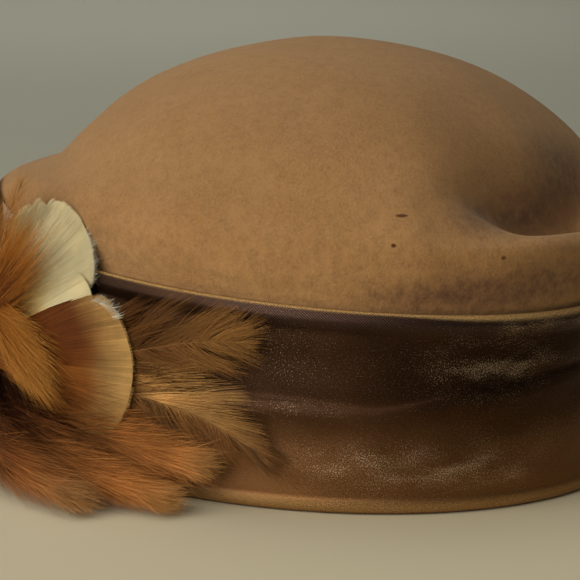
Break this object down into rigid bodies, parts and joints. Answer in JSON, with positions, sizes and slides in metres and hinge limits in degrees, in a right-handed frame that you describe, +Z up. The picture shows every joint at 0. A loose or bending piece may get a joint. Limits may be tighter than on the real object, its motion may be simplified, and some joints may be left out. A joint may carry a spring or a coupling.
{
  "type": "pillbox hat",
  "caption": "Felt pillbox hat with a domed crown dented at the ends, a folded satin band and a feather spray on one side.",
  "frame": {"origin": "on the floor plane under the middle of the whole hat with its feathers", "axes": "+X along the hat's long axis towards the deeply dented end, +Z up through the crown, the feather spray on the -Y side towards -X"},
  "size_m": [0.2212, 0.1978, 0.1212],
  "materials": {
    "felt": "short nap",
    "satin": "satin",
    "quill": "matte",
    "cream_feather": "soft",
    "tan_feather": "soft",
    "bronze_feather": "silky",
    "rust_feather": "soft",
    "orange_feather": "soft"
  },
  "bodies": {
    "root": {"crown": "felt", "band": "satin", "quill_bundle": "quill", "pad_cream_back": "cream_feather", "pad_cream_low": "cream_feather", "pad_cream_front": "cream_feather", "pad_tan": "tan_feather", "pad_cream_left": "cream_feather", "pad_tan_left": "tan_feather", "hackle_upper": "bronze_feather", "hackle_lower": "bronze_feather", "hackle_rising": "bronze_feather", "hackle_left": "bronze_feather", "plume_right": "rust_feather", "plume_low": "rust_feather", "plume_front": "rust_feather", "plume_left": "rust_feather", "tuft_orange": "orange_feather"}
  },
  "joints": []
}
